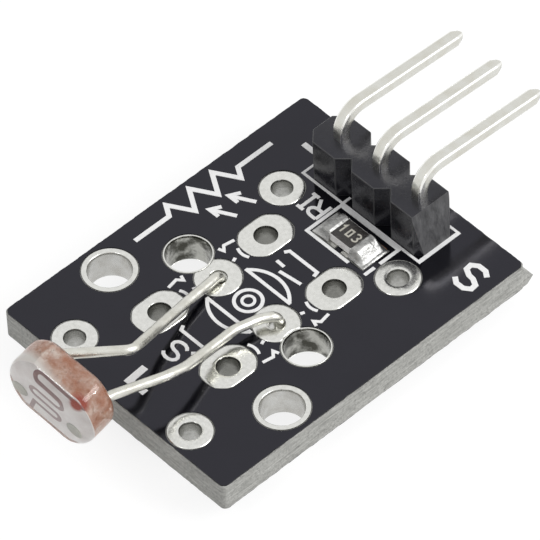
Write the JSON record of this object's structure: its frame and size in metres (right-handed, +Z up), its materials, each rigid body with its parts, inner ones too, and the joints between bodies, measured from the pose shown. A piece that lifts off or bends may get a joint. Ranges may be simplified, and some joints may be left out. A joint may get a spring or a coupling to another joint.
{
  "type": "photoresistor module",
  "caption": "Photoresistor on two bent leads, soldered to a small black circuit board with a chip resistor and an angled pin header; its resistance falls in the light.",
  "frame": {"origin": "midway between the two mounting holes, on the underside of the board", "axes": "+X across the board to the signal side, +Y along the board to the pin header, +Z up out of the component side"},
  "size_m": [0.0144, 0.028, 0.0078],
  "materials": {
    "laminate": "cut glass-fibre laminate",
    "solder_mask": "glossy black solder mask",
    "white_print": "white screen print",
    "tin_plating": "satin tin over copper",
    "copper": "bare copper under the mask",
    "resistor_ceramic": "white alumina",
    "terminal": "tinned terminal",
    "resistor_coating": "black glaze",
    "solder": "bright solder",
    "header_plastic": "moulded black plastic",
    "pin_metal": "tinned brass pin",
    "lead_wire": "tinned steel wire",
    "sensor_ceramic": "ceramic with a red-brown rim",
    "sensor_film": "cadmium sulphide film",
    "electrode_film": "pale metal film",
    "clear_resin": "clear glossy resin"
  },
  "bodies": {
    "root": {"circuit_board": "laminate", "top_solder_mask": "solder_mask", "bottom_solder_mask": "solder_mask", "legend_print": "white_print", "resistor_marking": "white_print", "left_mounting_hole_plating": "tin_plating", "right_mounting_hole_plating": "tin_plating", "left_large_hole_plating": "tin_plating", "right_large_hole_plating": "tin_plating", "left_lead_pad": "tin_plating", "right_lead_pad": "tin_plating", "front_left_round_pad": "tin_plating", "front_right_round_pad": "tin_plating", "rear_left_round_pad": "tin_plating", "rear_right_round_pad": "tin_plating", "front_left_oblong_pad": "tin_plating", "front_right_oblong_pad": "tin_plating", "rear_left_oblong_pad": "tin_plating", "rear_right_oblong_pad": "tin_plating", "ground_pin_pad": "tin_plating", "supply_pin_pad": "tin_plating", "signal_pin_pad": "tin_plating", "left_resistor_pad": "tin_plating", "right_resistor_pad": "tin_plating", "ground_track": "copper", "supply_track": "copper", "signal_track": "copper", "resistor_ceramic": "resistor_ceramic", "left_resistor_terminal": "terminal", "right_resistor_terminal": "terminal", "resistor_coating": "resistor_coating", "left_resistor_solder": "solder", "right_resistor_solder": "solder", "ground_pin_solder": "solder", "supply_pin_solder": "solder", "signal_pin_solder": "solder", "left_lead_solder": "solder", "right_lead_solder": "solder", "header_housing": "header_plastic", "ground_pin": "pin_metal", "supply_pin": "pin_metal", "signal_pin": "pin_metal", "left_lead": "lead_wire", "right_lead": "lead_wire", "sensor_ceramic": "sensor_ceramic", "sensor_track": "sensor_film", "left_electrode": "electrode_film", "right_electrode": "electrode_film", "resin_coat": "clear_resin"}
  },
  "joints": []
}
